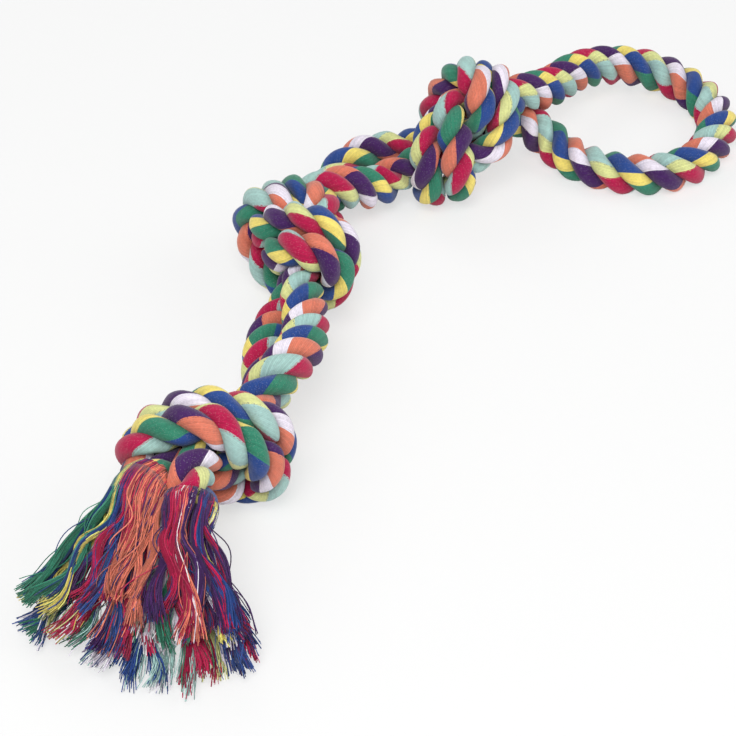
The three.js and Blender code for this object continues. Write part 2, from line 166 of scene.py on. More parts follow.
# Yarns of a lock, and their threads
OWN_DYE = 0.66  # share of a lock's yarns that have its dye
YARN_DYE = 0.8  # share of a yarn's threads that have its dye
YARN_PLACE = 0.7  # of its lock's reach, at most
YARN_LENGTHS = (0.9, 1.04)  # of its lock's length
YARN_TURNS = (1.2, 2.6)  # of its wave
YARN_REACH = 0.42  # of its lock's reach
FRAY = 1.1  # how much wider a yarn is at its tip
FRAYS = 0.8  # share of its length where that starts
THREAD_SIDES = 4
THREAD_CAPS = 2 * THREAD_SIDES  # corners of both ends
THREAD_POINTS = 17
THREAD_LENGTHS = (0.93, 1.03)  # of its yarn's length
THREAD_TURNS = (0.8, 2.4)  # of its crimp
THREAD_TONES = (0.4, 1.5)  # of its dye
THREAD_SIZES = (0.75, 1.25)  # of the thread radius
CRIMP = 0.0003  # metres that a thread swings in its yarn
LOOSE_POINTS = 26
LOOSE_WAVE = 4  # times a yarn's wave

# Threads that stray from a tuft's lock and curl up
STRAY_CURLS = {("a_yellow", "yellow"): 3}
CURL_SIZE = 0.0022  # metres
CURL_STARTS = (0.35, 0.5)  # shares of the tuft's length
CURL_END = 0.8
CURL_TURNS = (1.1, 1.6)
CURL_PHASE = 6  # radians, at most
CURL_RISE = 2.2  # of its size
CURL_RISEN = 0.5  # share of a curl by which it has risen
CURL_PLACE = (0.0, 0.9)  # in its lock's section

# Bake maps of the tufts
CORE_BAND = 0.2  # of a map, below the threads' cells
CELL_COLUMNS = 12
CELL_INSET = 0.06  # of a cell, on each side
CAP_WIDTH = 0.06  # of a cell, at each end

# The dyes of each tuft's locks, from left to right as seen from its tips, and of its odd threads
TUFT_LOCKS = {
    "a_green": ("green green yellow", "blue green"),
    "a_yellow": ("green yellow white", "yellow lime purple"),
    "a_blue": ("blue green lime", "blue green white"),
    "a_red": ("purple red blue", "red purple blue"),
    "a_lime": ("lime red red", "yellow red white"),
    "a_mint": ("white mint green", "blue white mint"),
    "a_orange": ("orange orange orange", "purple orange red"),
    "a_purple": ("purple blue red", "blue purple orange"),
    "a_white": ("mint white blue", "blue mint white"),
    "b_red": ("orange purple red", "red purple blue"),
    "b_mint": ("mint white green", "white green red"),
    "b_blue": ("blue blue white", "blue mint"),
    "b_orange": ("red red purple", "purple white orange"),
    "b_green": ("red green purple", "red blue"),
    "b_lime": ("mint red lime", "red green"),
    "b_purple": ("purple blue purple", "purple blue red"),
    "b_yellow": ("blue yellow purple", "white blue"),
    "b_white": ("blue white red", "blue purple"),
}

# Stage
FLOOR_DROP = 0.0004  # metres
FLOOR_CLEAR = 0.6  # how much shows through it
FLOOR_FADES = (0.35, 0.9)  # metres from the toy's middle
STUDIO_LIGHT = 0.32  # strength of the studio's white on the toy, where it shows with 1
# Where each lamp hangs, its size in metres and its power in watts
LAMPS = {
    "key": ((-0.75, -0.35, 1.25), 0.9, 14.0),
    "fill": ((0.55, -0.95, 0.8), 1.0, 4.5),
    "back": ((0.5, 0.9, 0.9), 0.8, 3.0),
}

# Kinds of property
METRES = {"unit": "LENGTH"}
COLOUR = {"subtype": "COLOR", "min": 0, "max": 1}


def linear(code):
    """A dye's hexadecimal display colour as linear red, green and blue."""
    parts = [int(code[k : k + 2], 16) / 255 for k in (0, 2, 4)]
    return tuple(p / 12.92 if p <= 0.04045 else ((p + 0.055) / 1.055) ** 2.4 for p in parts)


def real(name, about, default, **kind):
    """A property that is a number."""
    return bpy.props.FloatProperty(name=name, description=about, default=default, **kind)


def whole(name, about, default, least=0):
    """A property that is a whole number."""
    return bpy.props.IntProperty(name=name, description=about, default=default, min=least)


def triple(name, about, default, **kind):
    """A property that is three numbers."""
    return bpy.props.FloatVectorProperty(name=name, description=about, default=default, **kind)


def dye(name, code):
    """The property of one dye."""
    return triple(name, f"Dye of the {name.lower()} yarn", linear(code), **COLOUR)


class YarnDyes(bpy.types.PropertyGroup):
    """The nine dyes of the yarn"""

    yellow: dye("Yellow", "efdb74")
    blue: dye("Blue", "29488b")
    green: dye("Green", "348066")
    white: dye("White", "e9e1ee")
    orange: dye("Orange", "d97a62")
    purple: dye("Purple", "43205b")
    lime: dye("Lime", "d9dd95")
    mint: dye("Mint", "a3c7c1")
    red: dye("Red", "b4184a")


class RopeSizes(bpy.types.PropertyGroup):
    """Sizes of the laid rope"""

    lay_length: real("Lay length", "Rope in which a strand goes round once", 0.037, min=0.01, **METRES)
    fullness: real("Fullness", "Reach of the strands as a share of the frame's", 1.05, min=0.8, max=1.15)
    strand_radius: real("Strand radius", "Strand's radius as a share of the rope's", 0.55, min=0.5, max=0.7)
    row_step: real("Row step", "Length of rope between two rows of faces", 0.001, min=0.0004, **METRES)
    yarns_round: whole("Yarns round", "Yarns that show round the rope", 84, 12)


class TasselSizes(bpy.types.PropertyGroup):
    """Sizes of the combed yarn"""

    threads: whole("Threads", "Threads in each tuft", 378, 10)
    thread_radius: real("Thread radius", "Radius of one combed thread", 0.0002, min=0.0001, **METRES)
    sway: real("Sway", "How far a lock of threads swings to each side", 0.0026, min=0, **METRES)
    wave: real("Wave", "How far a yarn swings to each side in its lock", 0.0013, min=0, **METRES)
    loose: real("Loose", "Share of the threads that stray from their lock", 0.015, min=0, max=1)
    seed: whole("Seed", "Picks another chance arrangement of the threads", 7)


class StageSettings(bpy.types.PropertyGroup):
    """The studio that the toy lies in"""

    azimuth: real("Azimuth", "Side that the camera looks from", math.radians(-53), subtype="ANGLE")
    elevation: real("Elevation", "Angle at which the camera looks down", math.radians(42), subtype="ANGLE")
    distance: real("Distance", "From the camera to the point that it looks at", 0.79, min=0.1, **METRES)
    aim: triple("Aim", "Point that the camera looks at", (-0.05707, -0.02408, 0.025), **METRES)
    lens: real("Lens", "Focal length for a 36 mm frame, in millimetres", 90.05, min=1)
    floor: triple("Floor", "Colour of the floor", (0.9, 0.9, 0.9), **COLOUR)


class RopeToySettings(bpy.types.PropertyGroup):
    """All that a user may change on the toy"""

    dyes: bpy.props.PointerProperty(type=YarnDyes)
    rope: bpy.props.PointerProperty(type=RopeSizes)
    tassel: bpy.props.PointerProperty(type=TasselSizes)
    stage: bpy.props.PointerProperty(type=StageSettings)


def adds(operation):
    """A method that adds a Math node."""
    return lambda *values: values[0].math(operation, *values)


class Shade:
    """A socket in a material. Arithmetic on it adds Math nodes, and node() adds any other node."""

    def __init__(self, tree, socket=None):
        self.tree = tree
        self.socket = socket

    def node(self, kind, values=None, out=0, **settings):
        """Adds a node: settings are set first, and values are keyed by a socket's name or place."""
        made = self.tree.nodes.new("ShaderNode" + kind)
        for key, value in settings.items():
            if key == "stops":
                set_stops(made.color_ramp, value)
            else:
                setattr(made, key, value)
        for key, value in (values or {}).items():
            if isinstance(value, Shade):
                self.tree.links.new(value.socket, made.inputs[key])
            else:
                made.inputs[key].default_value = value
        return Shade(self.tree, made.outputs[out])

    def spot(self):
        """The place on the object."""
        return self.node("TexCoord", out="Object")

    def noise(self, place, scale, detail=2):
        return self.node("TexNoise", {"Vector": place, "Scale": scale, "Detail": detail})

    def math(self, operation, *values):
        return self.node("Math", dict(enumerate(values)), operation=operation)

    def feed(self, shader, name):
        self.tree.links.new(self.socket, shader.inputs[name])

    __add__ = __radd__ = adds("ADD")
    __sub__ = adds("SUBTRACT")
    __mul__ = adds("MULTIPLY")
    __truediv__ = adds("DIVIDE")
    __pow__ = adds("POWER")
    floor = adds("FLOOR")
    fract = adds("FRACT")
    above = adds("GREATER_THAN")

    def __rsub__(self, other):
        return self.math("SUBTRACT", other, self)

    def clamped(self):
        return self.node("Clamp", {"Value": self})


def set_stops(ramp, stops):
    """Gives a colour ramp constant stops: each is where it starts, and its colour."""
    ramp.interpolation = "CONSTANT"
    while len(ramp.elements) < len(stops):
        ramp.elements.new(1)
    for element, (start, tint) in zip(ramp.elements, stops):
        element.position = start
        element.color = (*tint, 1)


def mixed(factor, first, second, blend="MIX"):
    """Two colours mixed by a factor."""
    values = {0: factor, 6: first, 7: second}
    return first.node("Mix", values, out=2, data_type="RGBA", blend_type=blend)


def toned(tint, tone, weights, grains):
    """A colour times a tone, which is a steady one and grains, for the rope also painted shade, each with
    its weight.
    """
    for name, weight in weights.items():
        tone = tone + grains[name] * weight
    grey = tint.node("CombineColor", {0: tone, 1: tone, 2: tone})
    return mixed(1.0, tint, grey, "MULTIPLY")


def new_material(name, values):
    """A Principled material with constant values, its shader, and a start for its other nodes."""
    material = bpy.data.materials.new(name)
    material.use_nodes = True
    shader = material.node_tree.nodes["Principled BSDF"]
    for socket, value in values.items():
        shader.inputs[socket].default_value = value
    return material, shader, Shade(material.node_tree)


def dye_stops(dyes):
    """Where each dye starts on the ramp of all the strands' yarns, and its colour."""
    befores = np.cumsum((0, *DYE_SHARES[:-1]))
    return [
        ((k + before) / STRANDS, getattr(dyes, name))
        for k, names in enumerate(STRAND_DYES)
        for name, before in zip(names.split(), befores)
    ]


def laid_cotton(settings):
    """Rope cotton: three strands with three dyes each, and yarns that run along the rope."""
    material, shader, start = new_material("laid_cotton", ROPE_CLOTH)
    rope = settings.rope
    place = {"Vector": start.node("UVMap", uv_map=ROPE_UV)}
    round_share = start.node("SeparateXYZ", place, out=0)
    along = start.node("SeparateXYZ", place, out=1)
    spot = start.spot()

    # Yarns keep to the rope's length, apart from a slow wander
    wander = (start.noise(spot, scale=55) - 0.5) * WANDER
    strand = (round_share * STRANDS).floor()
    across = round_share + along / rope.lay_length + wander + along * YARN_SLANT + strand * STRAND_SHIFT
    yarn = (across * rope.yarns_round).floor()
    fibre_place = {0: across * FIBRE_SCALES[0], 1: along * FIBRE_SCALES[1], 2: strand}
    fibre = start.noise(start.node("CombineXYZ", fibre_place), scale=1, detail=4)
    row = ((yarn + 0.5) * (2 / rope.yarns_round) + (fibre - 0.5) * DYE_FRINGE).fract()
    tint = start.node("ValToRGB", {0: (strand + row) / STRANDS}, stops=dye_stops(settings.dyes))

    # Each yarn takes the dye a little differently, and painted shade darkens the gaps between yarns and the
    # grooves between strands
    # Painted shade in the gaps between yarns; the same gaps also shape the bump
    gap = ((across * rope.yarns_round).fract() * 2 - 1) ** 2
    own = {"Vector": start.node("CombineXYZ", {0: yarn, 1: strand})}
    grains = {
        "yarn": start.node("TexWhiteNoise", own, noise_dimensions="2D"),
        "fibre": fibre,
        "heather": start.noise(spot, scale=950),
        "gap": gap,
        # Painted shade in the grooves between strands
        "groove": ((round_share * STRANDS).fract() * 2 - 1) ** GROOVE_SHADE_POWER,
    }
    tint = toned(tint, ROPE_TONE, ROPE_GRAIN_AND_SHADE, grains)

    # Pale specks of lint
    lint = start.node("TexVoronoi", {"Vector": spot, "Scale": 1500})
    speck = (LINT_SIZE - lint).above(0) * start.noise(spot, scale=420).above(LINT_RARE)
    mixed(speck * LINT_WEIGHT, tint, LINT_COLOUR).feed(shader, "Base Color")

    height = (1 - gap) * GAP_DEPTH + fibre * FIBRE_DEPTH
    bump = {"Strength": 0.45, "Distance": 0.0004, "Height": height}
    start.node("Bump", bump).feed(shader, "Normal")
    return material


def combed_cotton():
    """Loose yarn: each thread has its own dye, which is uneven along it."""
    material, shader, start = new_material("combed_cotton", YARN_CLOTH)
    tint = start.node("Attribute", attribute_name=DYE)
    spot = start.spot()
    fuzz = start.noise(spot, scale=1600)
    grains = {"uneven": start.noise(spot, scale=330, detail=3), "fuzz": fuzz}
    toned(tint, YARN_TONE, YARN_GRAIN, grains).feed(shader, "Base Color")
    bump = {"Strength": 0.4, "Distance": 0.0002, "Height": fuzz}
    start.node("Bump", bump).feed(shader, "Normal")
    return material


def cotton(name):
    """One of the toy's two cotton materials, made when it is first used."""
    made = bpy.data.materials.get(name)
    if made is None:
        made = laid_cotton(bpy.context.scene.rope_toy) if name == "laid_cotton" else combed_cotton()
    return made


def node_rings(name, sides):
    """The rings of corners of one lofted CAD node, from cap to cap, each in order round."""
    bm = bmesh.new()
    bm.from_mesh(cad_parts[name].data)
    bmesh.ops.remove_doubles(bm, verts=bm.verts, dist=SEAM)
    caps = [v for v in bm.verts if len(v.link_edges) == sides]
    if len(caps) != 2:
        raise RuntimeError(f"{name} has {len(caps)} end caps and not 2")
    seen = {caps[0]}
    layer = {caps[0]}
    rings = []
    while True:
        layer = {e.other_vert(v) for v in layer for e in v.link_edges} - seen
        if len(layer) != sides:
            break
        seen |= layer
        rings.append(in_order(layer))
    bm.free()
    return np.array(rings)


def in_order(layer):
    """The corners of one ring, walked from neighbour to neighbour."""
    vert = min(layer, key=lambda v: v.index)
    left = set(layer)
    ring = []
    while vert is not None:
        left.discard(vert)
        ring.append(tuple(vert.co))
        vert = next((e.other_vert(vert) for e in vert.link_edges if e.other_vert(vert) in left), None)
    return ring


def ring_normal(ring):
    """The direction that a ring faces, by its order."""
    spokes = ring - ring.mean(0)
    return unit(np.cross(spokes, np.roll(spokes, -1, axis=0)).sum(0))


def aligned(ring, previous, ahead):
    """The ring turned as the rope runs, with its first corner beside the previous ring's."""
    if ring_normal(ring) @ ahead < 0:
        ring = ring[::-1]
    if previous is None:
        return ring
    spokes = ring - ring.mean(0)
    before = previous - previous.mean(0)
    turns = [np.roll(spokes, -k, axis=0) for k in range(len(ring))]
    best = min(range(len(ring)), key=lambda k: ((turns[k] - before) ** 2).sum())
    return np.roll(ring, -best, axis=0)


def unit(vectors):
    return vectors / np.linalg.norm(vectors, axis=-1, keepdims=True)


def spoke(turn):
    """The unit vector at an angle."""
    return np.array([math.cos(turn), math.sin(turn)])


def smoothed(low, high, x):
    t = np.clip((x - low) / (high - low), 0, 1)
    return t * t * (3 - 2 * t)


def curve(start, end, leave, arrive, t):
    """A smooth curve from start to end, with given slopes there, at t from 0 to 1."""
    return (
        (1 + 2 * t) * (1 - t) ** 2 * start
        + t * (1 - t) ** 2 * leave
        + t * t * (3 - 2 * t) * end
        - t * t * (1 - t) * arrive
    )


def through(values, at):
    """A smooth curve through values at even steps, read at places counted in steps."""
    k = np.clip(at.astype(int), 0, len(values) - 2)
    slope = np.gradient(values, axis=0)
    return curve(values[k], values[k + 1], slope[k], slope[k + 1], (at - k)[:, None])


class Rope:
    """The whole rope as rings of the frame's surface, with the length along the rope at each."""

    def __init__(self):
        rows = [node_rings(name, ROPE_SIDES) for name in ROPE_ORDER]
        self.ends = {}
        rings = []
        for k, name in enumerate(ROPE_ORDER):
            other = (rows[k + 1] if k + 1 < len(rows) else rows[k - 1]).mean(1)
            gaps = [np.linalg.norm(rows[k][end].mean(0) - other, axis=1).min() for end in (0, -1)]
            if (gaps[0] < gaps[1]) == (k + 1 < len(rows)):
                rows[k] = rows[k][::-1]
            ahead = np.gradient(rows[k].mean(1), axis=0)
            joined = []
            for ring, way in zip(rows[k], ahead):
                previous = joined[-1] if joined else (rings[-1] if rings else None)
                joined.append(aligned(ring, previous, way))
            if rings:
                rings[-1] = (rings[-1] + joined[0]) / 2
                joined = joined[1:]
            first = max(0, len(rings) - 1)
            rings += joined
            self.ends[name] = [first, len(rings) - 1]
        self.rings = np.array(rings)
        steps = np.linalg.norm(np.diff(self.rings.mean(1), axis=0), axis=1)
        self.at = np.concatenate([[0], np.cumsum(steps)])

    def reach(self, name):
        """Where a stretch starts and ends, as lengths along the rope."""
        return self.at[self.ends[name]]

    def rings_at(self, along):
        """The frame's rings at lengths along the rope, on a smooth curve through them."""
        k = np.clip(np.searchsorted(self.at, along, side="right") - 1, 0, len(self.at) - 2)
        step = (self.at[k + 1] - self.at[k])[:, None, None]
        t = (along - self.at[k])[:, None, None] / step
        slope = np.gradient(self.rings, self.at, axis=0)
        return curve(self.rings[k], self.rings[k + 1], step * slope[k], step * slope[k + 1], t)

    def ring(self, along):
        """The frame's ring at one length along the rope."""
        return self.rings_at(np.array([along]))[0]

    def centres(self, along):
        return self.rings_at(along).mean(1)

    def surface(self, along, turns):
        """Points of the frame's surface: one row for each length along, at that row's turns round."""
        rings = self.rings_at(along)
        x = np.mod(turns, 1) * ROPE_SIDES
        k = np.floor(x).astype(int)
        t = (x - k)[:, :, None]
        row = np.arange(len(along))[:, None]
        p = [rings[row, (k + j) % ROPE_SIDES] for j in (-1, 0, 1, 2)]
        return curve(p[1], p[2], (p[2] - p[0]) / 2, (p[3] - p[1]) / 2, t)

    def laid(self, along, sizes):
        """The laid strands' skin and its normals: a row for each length along, a column for each edge."""
        step = along[1] - along[0]
        wide = np.clip([along[0] - step, *along, along[-1] + step], 0, self.at[-1])
        turns, crown = strand_section(sizes.strand_radius)
        twisted = turns[None, :] + wide[:, None] / sizes.lay_length
        centre = self.centres(wide)[:, None, :]
        skin = centre + sizes.fullness * crown[None, :, None] * (self.surface(wide, twisted) - centre)
        skin[:, :, 2] = np.maximum(skin[:, :, 2], 0)
        down = skin[2:] - skin[:-2]
        ring = skin[1:-1, :-1]
        across = np.roll(ring, -1, axis=1) - np.roll(ring, 1, axis=1)
        normals = np.cross(across, down[:, :-1])
        normals /= np.maximum(np.linalg.norm(normals, axis=2, keepdims=True), NO_LENGTH)
        return skin[1:-1], np.concatenate([normals, normals[:, :1]], axis=1)


def strand_section(radius):
    """The three strands' outline: turns round the rope, and distance as a share of the rope's radius."""
    middle = 1 - radius
    side_x, side_y = spoke(math.pi / STRANDS)
    groove = middle * side_x + math.sqrt(radius**2 - (middle * side_y) ** 2)
    edge = math.atan2(groove * side_y, groove * side_x - middle)
    angles = np.linspace(-edge, edge, STRAND_COLUMNS + 1)
    x = middle + radius * np.cos(angles)
    y = radius * np.sin(angles)
    turn = np.arctan2(y, x) / math.tau
    far = np.hypot(x, y)
    turns = [turn[:-1] + (k + 0.5) / STRANDS for k in range(STRANDS)] + [[1.0]]
    return np.concatenate(turns), np.concatenate([far[:-1]] * STRANDS + [far[-1:]])


def new_object(name, data):
    made = bpy.data.objects.new(name, data)
    bpy.context.scene.collection.objects.link(made)
    return made


def new_piece(name, mesh, material):
    """A mesh as an object of the scene, with its material."""
    mesh.materials.append(material)
    return new_object(name, mesh)


def read(items, name, width, kind=float):
    """One property of a mesh's items, with a row for each."""
    values = np.empty((len(items), width), kind)
    items.foreach_get(name, values.ravel())
    return values


def tube_grid(name, points):
    """A grid laid through rows of points that end where they start, and its corners' rows and columns."""
    rows, columns = (number - 1 for number in points.shape[:2])
    mesh = bpy.data.meshes.new(name)
    bm = bmesh.new()
    bmesh.ops.create_grid(bm, x_segments=columns, y_segments=rows, size=0.5)
    bm.to_mesh(mesh)
    bm.free()
    flat = read(mesh.vertices, "co", 3)[:, :2]
    part = (flat - flat.min(0)) / np.ptp(flat, axis=0)
    column = np.rint(part[:, 0] * columns).astype(int)
    row = np.rint(part[:, 1] * rows).astype(int)
    mesh.vertices.foreach_set("co", points[row, column].ravel())
    return mesh, row, column


def close_tube(mesh):
    """Welds the seam of a wrapped grid and closes its two ends."""
    bm = bmesh.new()
    bm.from_mesh(mesh)
    rim = [v for v in bm.verts if v.is_boundary]
    bmesh.ops.remove_doubles(bm, verts=rim, dist=SEAM)
    for face in bm.faces:
        face.smooth = True
    bmesh.ops.holes_fill(bm, edges=[e for e in bm.edges if e.is_boundary], sides=0)
    bmesh.ops.recalc_face_normals(bm, faces=bm.faces)
    bm.to_mesh(mesh)
    bm.free()


def laid_piece(name, node, start, end, settings):
    """A closed stretch of laid rope between two lengths along it."""
    rows = max(2, round((end - start) / settings.rope.row_step))
    along = np.linspace(start, end, rows + 1)
    skin, normals = ROPE.laid(along, settings.rope)
    mesh, row, column = tube_grid(name, skin)
    kept = mesh.attributes.new(SKIN_NORMAL, "FLOAT_VECTOR", "POINT")
    kept.data.foreach_set("vector", normals[row, column].ravel())
    corners = read(mesh.loops, "vertex_index", 1, int)[:, 0]
    place = np.stack([column[corners] / (STRANDS * STRAND_COLUMNS), along[row[corners]]], 1)
    mesh.uv_layers.new(name=ROPE_UV).uv.foreach_set("vector", place.ravel())
    place[:, 1] = (place[:, 1] - start) / (end - start)
    mesh.uv_layers.new(name=BAKE_UV).uv.foreach_set("vector", place.ravel())
    close_tube(mesh)

    # The shading runs on from each piece to the next
    kept = mesh.attributes[SKIN_NORMAL]
    normals = read(kept.data, "vector", 3)
    mesh.attributes.remove(kept)
    mesh.normals_split_custom_set_from_vertices(normals)
    piece = new_piece(name, mesh, cotton("laid_cotton"))
    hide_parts(node)
    "rope_loop" if node == "hand_loop" else "rope_" + node[-1]
    return piece


def bending_halves(stem, bodies):
    """A bending stretch's near and far halves: where each leg's starts and ends on the rope."""
    halves = [[], []]
    for leg in "ab":
        start, end = ROPE.reach(f"{stem}_{leg}")
        middle = (start + end) / 2
        home = np.mean(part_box(bodies[0] + "_" + leg), axis=0)
        far = np.linalg.norm(ROPE.centres(np.array([start, end])) - home, axis=1)
        if far[1] < far[0]:
            start, end = end, start
        halves[0].append((leg, start, middle))
        halves[1].append((leg, middle, end))
    return halves


def blend_line(half):
    """A line from one end of a half to the other, clear of the two legs' end rings."""
    rims = [[ROPE.ring(leg[k]) for leg in half] for k in (1, 2)]
    centre = [np.mean([ring.mean(0) for ring in rim], axis=0) for rim in rims]
    way = centre[1] - centre[0]
    distance = np.linalg.norm(way)
    way = way / distance
    low = max(0, ((np.concatenate(rims[0]) - centre[0]) @ way).max())
    high = min(distance, ((np.concatenate(rims[1]) - centre[0]) @ way).min())
    if high - low < BLEND_LEAST * distance:
        low, high = (part * distance for part in BLEND_MIDDLE)
    return tuple(centre[0] + low * way), tuple(centre[0] + high * way)


def bending_pairs(stretches, settings):
    """Bending stretches' two legs, each laid as two pieces."""
    for stem, bodies in stretches.items():
        for k, half in enumerate(bending_halves(stem, bodies)):
            start, end = blend_line(half)
            for leg, near, far in half:
                node = f"{stem}_{leg}"
                piece = laid_piece(f"laid_{node}_{k + 1}", node, min(near, far), max(near, far), settings)
                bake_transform(piece)


class Stub:
    """The end of one leg's rope, which the yarn leaves."""

    def __init__(self, leg):
        start, end = ROPE.reach("tassel_neck_" + leg)
        # Leg a's rope starts at its combed end, and leg b's ends there
        self.end = start if leg == "a" else end
        self.back = 1 if leg == "a" else -1
        self.length = end - start
        self.combed = STUB_COMBED[leg]
        ring = ROPE.ring(self.end)
        self.tip = ring.mean(0)
        self.side = unit(ring[0] - self.tip)
        self.up = np.cross(ring_normal(ring), self.side)

    def over(self, point, fan, chance):
        """A thread's points over the stub, and how many are in its near half."""
        out = point - self.tip
        turn = math.atan2(out @ self.up, out @ self.side) / math.tau
        turn += fan[0] * chance.uniform(-1, 1) + fan[1]
        begin = chance.uniform(*self.combed)
        near = 2 if begin > STUB_HALF else 0
        marks = begin * np.array(STUB_MARKS)
        if near:
            marks = np.array([begin, (begin + STUB_HALF) / 2, STUB_HALF, STUB_HALF / 2, 0])
        # The thread comes up from inside the rope
        lift = np.array([*STUB_RISE, *[STUB_OVER] * (len(marks) - 2)]) + chance.uniform(0, STUB_LIFT)
        if fan[0]:
            lift[1:] += FAN_OVER
        along = self.end + self.back * marks * self.length
        turns = turn + chance.normal(0, STUB_DRIFT) * marks
        centre = ROPE.centres(along)
        skin = ROPE.surface(along, turns[:, None])[:, 0]
        return centre + (skin - centre) * lift[:, None], near


class Tuft:
    """A tuft of the frame: its middle line from the stub out, and its reach aside and up."""

    def __init__(self, node, stub):
        rings = node_rings(node, TUFT_SIDES)
        far = np.linalg.norm(rings.mean(1) - stub.tip, axis=1)
        if far[-1] < far[0]:
            rings = rings[::-1]
        self.middle = rings.mean(1)
        way = np.gradient(self.middle, axis=0)
        aside = unit(np.cross(way, (0, 0, 1)))
        up = unit(np.cross(aside, way))
        spokes = rings - self.middle[:, None]
        self.width = aside * np.abs((spokes * aside[:, None]).sum(2)).max(1)[:, None]
        self.height = up * np.abs((spokes * up[:, None]).sum(2)).max(1)[:, None]
        self.aside = unit(aside.mean(0))
        self.up = unit(up.mean(0))

    def at(self, part, places):
        """Points at shares of its length, each at a place aside and up in its section."""
        step = part * (len(self.middle) - 1)
        middle, width, height = (through(values, step) for values in (self.middle, self.width, self.height))
        return middle + places[:, :1] * width + places[:, 1:] * height

    def swung(self, points, swing):
        """Points moved aside and up."""
        return points + swing[:, :1] * self.aside + swing[:, 1:] * self.up


class Wave:
    """A sideways swing that grows along a thread: aside, and up."""

    def __init__(self, size, turns, chance):
        self.size = size * chance.uniform(*WAVE_SIZES, 2) * WAVE_SHAPE
        self.turns = chance.uniform(*turns, 2)
        self.phase = chance.uniform(0, math.tau, 2)
        self.drift = size * chance.normal(0, WAVE_DRIFT, 2)

    def at(self, part):
        swing = self.size * np.sin(math.tau * self.turns * part[:, None] + self.phase)
        return smoothed(0, WAVE_GROWN, part)[:, None] * swing + (part**3)[:, None] * self.drift


class Lock:
    """A bundle of yarns in a tuft, which keep together, twist round each other and sway as one."""

    def __init__(self, k, number, tuft, tassel, chance):
        across = 1 - (2 * k + 1) / number
        self.place = np.array([across + chance.normal(0, LOCK_ASIDE), chance.uniform(-LOCK_UP, LOCK_UP)])
        self.reach = np.array([LOCK_REACH[0] / number, LOCK_REACH[1]])
        self.length = chance.uniform(*LOCK_LENGTHS) - LAYER_STEP * tuft.middle[-1, 2]
        self.twist = chance.uniform(-LOCK_TWIST, LOCK_TWIST)
        self.sway = Wave(tassel.sway, LOCK_TURNS, chance)

    def places(self, own, part):
        """A thread's places in the tuft's section: it turns round the lock's middle and nears it."""
        turn = self.twist * part
        near = 1 - GATHER * smoothed(*GATHERS, part)
        x = own[..., 0] * np.cos(turn) - own[..., 1] * np.sin(turn)
        y = own[..., 0] * np.sin(turn) + own[..., 1] * np.cos(turn)
        return self.place + near[:, None] * self.reach * np.column_stack([x, y])

    def core(self, tuft):
        """Rows of points round the body of the lock, which narrows to its tip."""
        part = np.linspace(0, CORE_LENGTH * self.length, CORE_ROWS + 1)
        full = CORE_FULLNESS * (1 - CORE_TIP * smoothed(CORE_NARROWS, 1, part / part[-1]))
        columns = []
        for turn in np.linspace(0, math.tau, CORE_COLUMNS + 1):
            own = full[:, None] * spoke(turn)
            columns.append(tuft.swung(tuft.at(part, self.places(own, part)), self.sway.at(part)))
        points = np.stack(columns, axis=1)
        points[:, -1] = points[:, 0]
        points[:, :, 2] = np.maximum(points[:, :, 2], 0)
        return points


class Yarn:
    """Threads, mostly of one dye, that keep together in a lock and fray at their tips."""

    def __init__(self, lock, dye_name, tassel, chance):
        self.place = YARN_PLACE * in_disc(chance)
        self.length = lock.length * chance.uniform(*YARN_LENGTHS)
        self.wave = Wave(tassel.wave, YARN_TURNS, chance)
        self.dye_name = dye_name

    def places(self, part, chance):
        """One thread's places in the lock's section."""
        own = in_disc(chance)
        spread = YARN_REACH * (1 + FRAY * smoothed(FRAYS, 1, part / part[-1]))
        return self.place + spread[:, None] * own


def in_disc(chance):
    """A chance place in a disc of radius 1."""
    turn = math.tau * chance.random()
    return math.sqrt(chance.random()) * spoke(turn)


def dyed(settings, name):
    """A dye's red, green and blue."""
    return np.array(getattr(settings.dyes, name))


def taken(own, part, odd, chance):
    """The name of a dye: mostly its own, at times an odd one."""
    return own if chance.random() < part else str(chance.choice(odd))


def combed_tuft(key, stub, settings, chance):
    """One tuft of locks, each a body with yarns of threads over it, and the threads' roots."""
    tassel = settings.tassel
    tuft = Tuft("tuft_" + key, stub)
    names, odd = (dyes.split() for dyes in TUFT_LOCKS[key])
    fan = FANNED.get(key, (0, 0))
    threads = []
    roots = []
    cores = []
    for k, name in enumerate(names):
        lock = Lock(k, len(names), tuft, tassel, chance)
        yarns = [Yarn(lock, taken(name, OWN_DYE, odd, chance), tassel, chance) for _ in range(LOCK_YARNS)]
        streaks = core_streaks(settings, yarns)
        cores.append(core_mesh(lock.core(tuft), streaks, k / len(names), 1 / len(names)))
        for yarn in yarns:
            for _ in range(tassel.threads // (len(names) * LOCK_YARNS)):
                path, near = thread_path(tuft, stub, lock, yarn, fan, tassel, chance)
                tint = dyed(settings, taken(yarn.dye_name, YARN_DYE, odd, chance))
                tint = np.minimum(tint * chance.uniform(*THREAD_TONES), 1)
                thickness = chance.uniform(*THREAD_SIZES)
                threads.append((path[near:], tint, thickness))
                if near:
                    roots.append((path[: near + 1], tint, thickness))
        for _ in range(STRAY_CURLS.get((key, name), 0)):
            threads.append((curl_path(tuft, lock, chance), dyed(settings, name), 1.0))
    return thread_piece("combed_" + key, threads, cores, tassel), roots


def core_streaks(settings, yarns):
    """A dye for each column of a lock's body: that of the nearest yarn, darker and lighter by turns."""
    streaks = []
    for k, turn in enumerate(np.linspace(0, math.tau, CORE_COLUMNS + 1)):
        side = spoke(turn)
        near = min(yarns, key=lambda yarn: np.linalg.norm(yarn.place - side))
        streaks.append(CORE_TONES[k % 2] * dyed(settings, near.dye_name))
    return streaks


